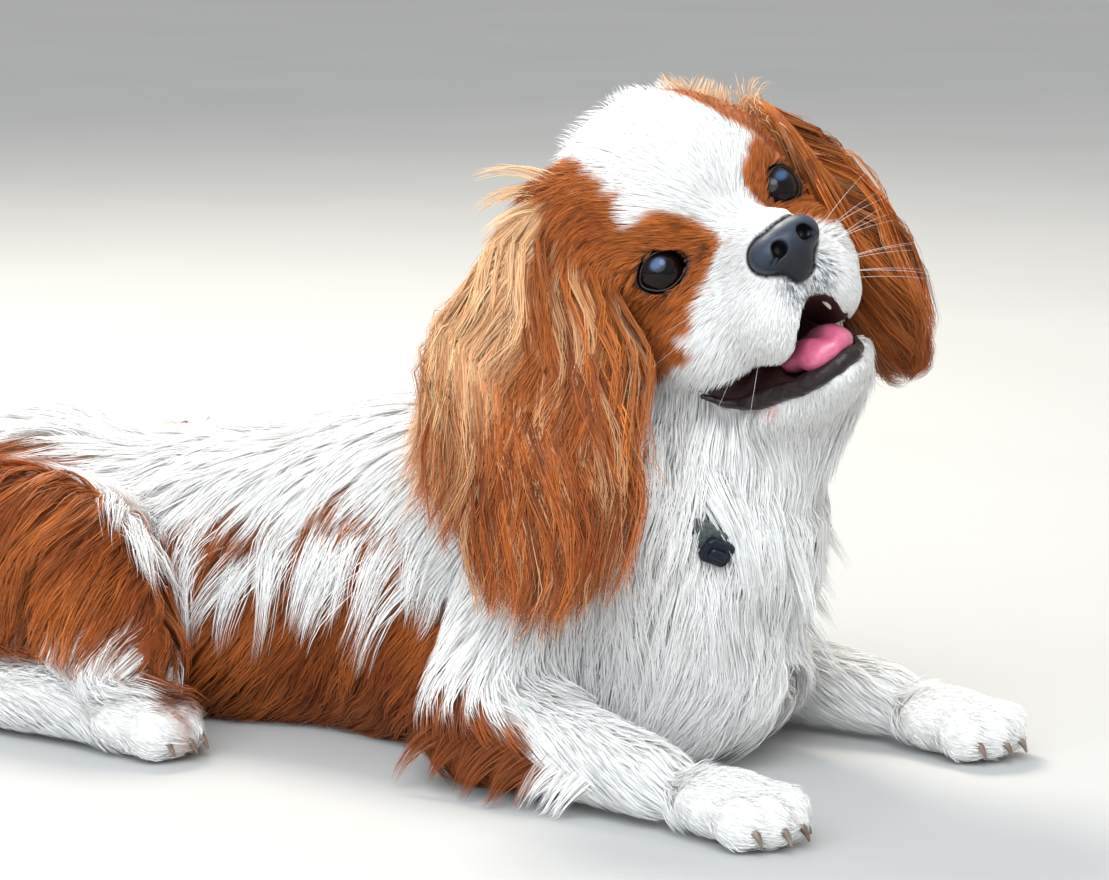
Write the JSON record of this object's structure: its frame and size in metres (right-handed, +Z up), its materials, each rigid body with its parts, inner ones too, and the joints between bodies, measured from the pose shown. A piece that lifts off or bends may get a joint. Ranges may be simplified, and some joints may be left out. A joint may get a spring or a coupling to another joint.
{
  "type": "cavalier king charles spaniel, lying, still model",
  "caption": "Life-size still model of a small long-eared spaniel, chestnut and white, lying on its belly with its head raised and tilted, mouth open.",
  "frame": {"origin": "on the flat of the belly that rests on the floor, under the rib cage, on the middle plane of the trunk", "axes": "+X to the dog's front, along the trunk and tail, +Y to the dog's left, +Z up; it rests on the plane z = 0"},
  "size_m": [0.6314, 0.2541, 0.275],
  "materials": {
    "white_coat": "long, soft, silky white coat, faintly cream",
    "chestnut_coat": "long, soft, silky chestnut coat with paler sunlit ends",
    "face_coat": "short white face hair with chestnut round each eye",
    "nose_leather": "damp, finely pebbled slate-black leather",
    "tongue_flesh": "wet pink tongue",
    "eye": "glossy, near-black brown eye under a clear cornea",
    "collar_webbing": "thin woven grey-green band",
    "clasp_metal": "dark blue-black satin clasp"
  },
  "bodies": {
    "root": {"eye_right": "eye", "eye_left": "eye", "head": "face_coat", "lower_jaw": "face_coat", "nose": "nose_leather", "tongue": "tongue_flesh", "ear_right": "chestnut_coat", "ear_left": "chestnut_coat", "collar": "collar_webbing", "neck": "white_coat", "torso": "white_coat", "tail_base": "white_coat", "tail_end": "white_coat", "hind_paw_right": "white_coat", "hind_foot_right": "white_coat", "forepaw_right": "white_coat", "foreleg_right": "white_coat", "foreleg_upper_right": "white_coat", "thigh_right": "chestnut_coat", "hind_paw_left": "white_coat", "hind_foot_left": "white_coat", "forepaw_left": "white_coat", "foreleg_left": "white_coat", "foreleg_upper_left": "white_coat", "thigh_left": "chestnut_coat", "collar_clasp": "clasp_metal"}
  },
  "joints": []
}
